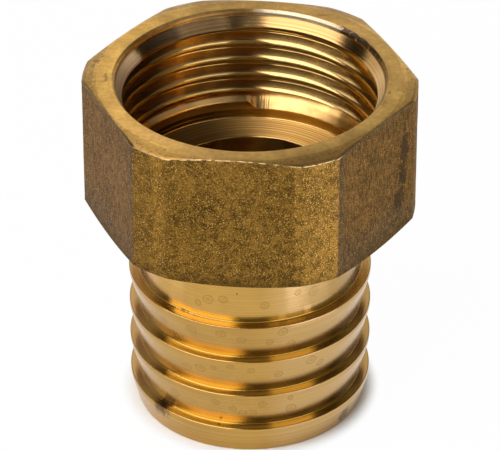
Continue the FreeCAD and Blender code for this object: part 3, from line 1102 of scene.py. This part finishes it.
def bearing_point(bearing, distance, height):
    return Vector((distance * math.cos(bearing), distance * math.sin(bearing), height))


def add_camera():
    data = bpy.data.cameras.new("photo_camera")
    data.lens = LENS
    data.clip_start = 10 * MM
    camera = link(bpy.data.objects.new("photo_camera", data))
    flat_distance = CAMERA_DISTANCE * math.cos(CAMERA_ELEVATION)
    rise = CAMERA_DISTANCE * math.sin(CAMERA_ELEVATION)
    camera.location = bearing_point(CAMERA_BEARING, flat_distance, CAMERA_TARGET.z + rise)
    camera.rotation_euler = (CAMERA_TARGET - camera.location).to_track_quat("-Z", "Y").to_euler()
    bpy.context.scene.camera = camera


def stage_card(name, verts, faces, material, seen=False):
    """Card of the studio. The camera sees the floor; the other cards give light and reflections."""
    mesh = bpy.data.meshes.new(name)
    mesh.from_pydata(verts, [], faces)
    mesh.materials.append(material)
    card = link(bpy.data.objects.new(name, mesh))
    card.visible_camera = seen


def dome_card(name, foot_turns, head_turns, rises, distance, material):
    """Card bent round the adapter like part of a dome, between two elevations.

    Its foot and its head each span a range of bearings from the camera.
    """
    verts = []
    for share in np.linspace(0, 1, CARD_STEPS + 1):
        foot = foot_turns[0] + share * (foot_turns[1] - foot_turns[0])
        head = head_turns[0] + share * (head_turns[1] - head_turns[0])
        for rise in np.linspace(0, 1, CARD_STEPS + 1):
            bearing = CAMERA_BEARING + math.radians(foot + rise * (head - foot))
            elevation = math.radians(rises[0] + rise * (rises[1] - rises[0]))
            flat_distance = distance * math.cos(elevation)
            verts.append(bearing_point(bearing, flat_distance, distance * math.sin(elevation)))
    row = CARD_STEPS + 1
    corners = [column * row + rise for column in range(CARD_STEPS) for rise in range(CARD_STEPS)]
    quads = [(corner, corner + row, corner + row + 1, corner + 1) for corner in corners]
    stage_card(name, verts, quads, material)


def ring_card(name, turns, distances, material):
    """Card on the table, shaped like part of a ring about the axis.

    It spans a range of bearings from the camera, and one of distances.
    """
    bearings = CAMERA_BEARING + np.radians(np.linspace(*turns, CARD_STEPS + 1))
    rays = [(bearing, distance) for bearing in bearings for distance in distances]
    verts = [bearing_point(bearing, distance, FLOOR_GAP) for bearing, distance in rays]
    quads = [(2 * step, 2 * step + 1, 2 * step + 3, 2 * step + 2) for step in range(CARD_STEPS)]
    stage_card(name, verts, quads, material)


def emitter(name, strength, colour):
    material = bpy.data.materials.new(name)
    material.use_nodes = True
    material.node_tree.nodes.clear()
    tree = Tree(material.node_tree)
    light = tree.node("ShaderNodeEmission", (("Strength", strength), ("Color", (*colour, 1))))
    tree.node("ShaderNodeOutputMaterial", (("Surface", light.outputs["Emission"]),))
    return material


def matt(name, colour):
    material = bpy.data.materials.new(name)
    material.use_nodes = True
    shader = material.node_tree.nodes["Principled BSDF"]
    shader.inputs["Base Color"].default_value = (*colour, 1)
    shader.inputs["Roughness"].default_value = 1
    shader.inputs["Specular IOR Level"].default_value = 0
    return material


def background_ray(tree):
    """1 for a ray from the camera and for one seen in metal or glass, 0 for diffuse light."""
    path = tree.node("ShaderNodeLightPath").outputs
    return tree.most([path["Is Camera Ray"], path["Is Glossy Ray"], path["Is Transmission Ray"]])


def mix_shaders(tree, share, first, second):
    return tree.node("ShaderNodeMixShader", enumerate((share, first, second))).outputs[0]


def add_world(fill):
    """White surroundings, which light the adapter with a part of their brightness."""
    world = bpy.data.worlds.new("studio")
    bpy.context.scene.world = world
    world.use_nodes = True
    world.node_tree.nodes.clear()
    tree = Tree(world.node_tree)
    soft, white = [
        tree.node("ShaderNodeBackground", (("Color", WHITE), ("Strength", strength))).outputs[0]
        for strength in (fill, 1)
    ]
    shade = mix_shaders(tree, background_ray(tree), soft, white)
    tree.node("ShaderNodeOutputWorld", (("Surface", shade),))


def floor_material(glow):
    """White floor that keeps the shadow. A share of it is plain white to the camera and in the metal.

    It is clear from below, and under the end face of the spigot, so that the end face is seen and lit.
    """
    material = matt("studio_floor", FLOOR_COLOUR)
    tree = Tree(material.node_tree)
    away = tree.measure("DISTANCE", tree.node("ShaderNodeTexCoord").outputs["Object"], (0, 0, 0))
    share = tree.product(background_ray(tree), tree.span(away, *SHADOW_EDGE, 0, glow))
    shader = tree.tree.nodes["Principled BSDF"].outputs[0]
    shade = mix_shaders(tree, share, shader, tree.node("ShaderNodeEmission").outputs[0])
    under_end_face = tree.span(tree.gap(away, END_FACE_MIDDLE), *CLEAR_EDGE)
    from_below = tree.node("ShaderNodeNewGeometry").outputs["Backfacing"]
    clear = tree.math("MAXIMUM", under_end_face, from_below)
    surface = mix_shaders(tree, clear, shade, tree.node("ShaderNodeBsdfTransparent").outputs[0])
    tree.feed(tree.tree.nodes["Material Output"].inputs["Surface"], surface)
    return material


def add_studio():
    add_world(fill=0.5)
    sides = ((-1, -1), (1, -1), (1, 1), (-1, 1))
    verts = [(FLOOR_HALF_WIDTH * x, FLOOR_HALF_WIDTH * y, -FLOOR_GAP) for x, y in sides]
    stage_card("studio_floor", verts, [(0, 1, 2, 3)], floor_material(glow=0.98), seen=True)
    for name, foot_turns, head_turns, rises, strength in (
        ("left_softbox", (-86, -20), (-86, -8), (17, 76), 3.6),
        ("right_softbox", (20, 62), (20, 62), (3, 31), 2.2),
        ("right_softbox_edge", (20, 58), (20, 58), (31, 62), 0.45),
        ("right_far_card", (62, 104), (62, 104), (24, 60), 0.3),
        ("left_far_card", (-150, -104), (-150, -104), (47, 64), 2.0),
        ("far_wall_card", (-20, 20), (-16, 20), (2, 13), 0.9),
        ("far_wall_card_edge", (-14, 20), (-6, 20), (30, 56), 0.22),
    ):
        dome_card(name, foot_turns, head_turns, rises, 0.6, emitter(name, strength, BOX_LIGHT))
    for name, turns, strength in (
        ("right_table_card", (33, 75), 1.9),
        ("left_table_card", (-76, -62), 1.4),
        ("left_table_card_edge", (-130, -92), 1.5),
    ):
        ring_card(name, turns, (46 * MM, 300 * MM), emitter(name, strength, TABLE_LIGHT))
    black = matt("black_card", CARD_BLACK)
    for name, turns, rises, distance in (
        ("front_card", (-112, 108), (0, 89), 0.7),
        ("far_right_card", (100, 158), (14, 80), 0.72),
        ("far_left_card", (-158, -100), (12, 46), 0.72),
        ("ceiling_card", (0, 360), (66, 90), 0.75),
    ):
        dome_card(name, turns, turns, rises, distance, black)


adapter = build_adapter()
for make_group in (
    make_lathe_place, make_turning_marks, make_chatter, make_specks, make_water_spot,
    make_blot, make_scratch,
):
    make_group()
for finish in (
    forged_hexagon, faced_rim, reamed_cone, cut_thread, bored_wall, ringed_floor,
    turned_spigot, burred_edge,
):
    adapter.data.materials.append(finish())
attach(adapter, "root")
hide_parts(NODE)

add_camera()
add_studio()
bpy.context.scene.view_settings.view_transform = "Standard"
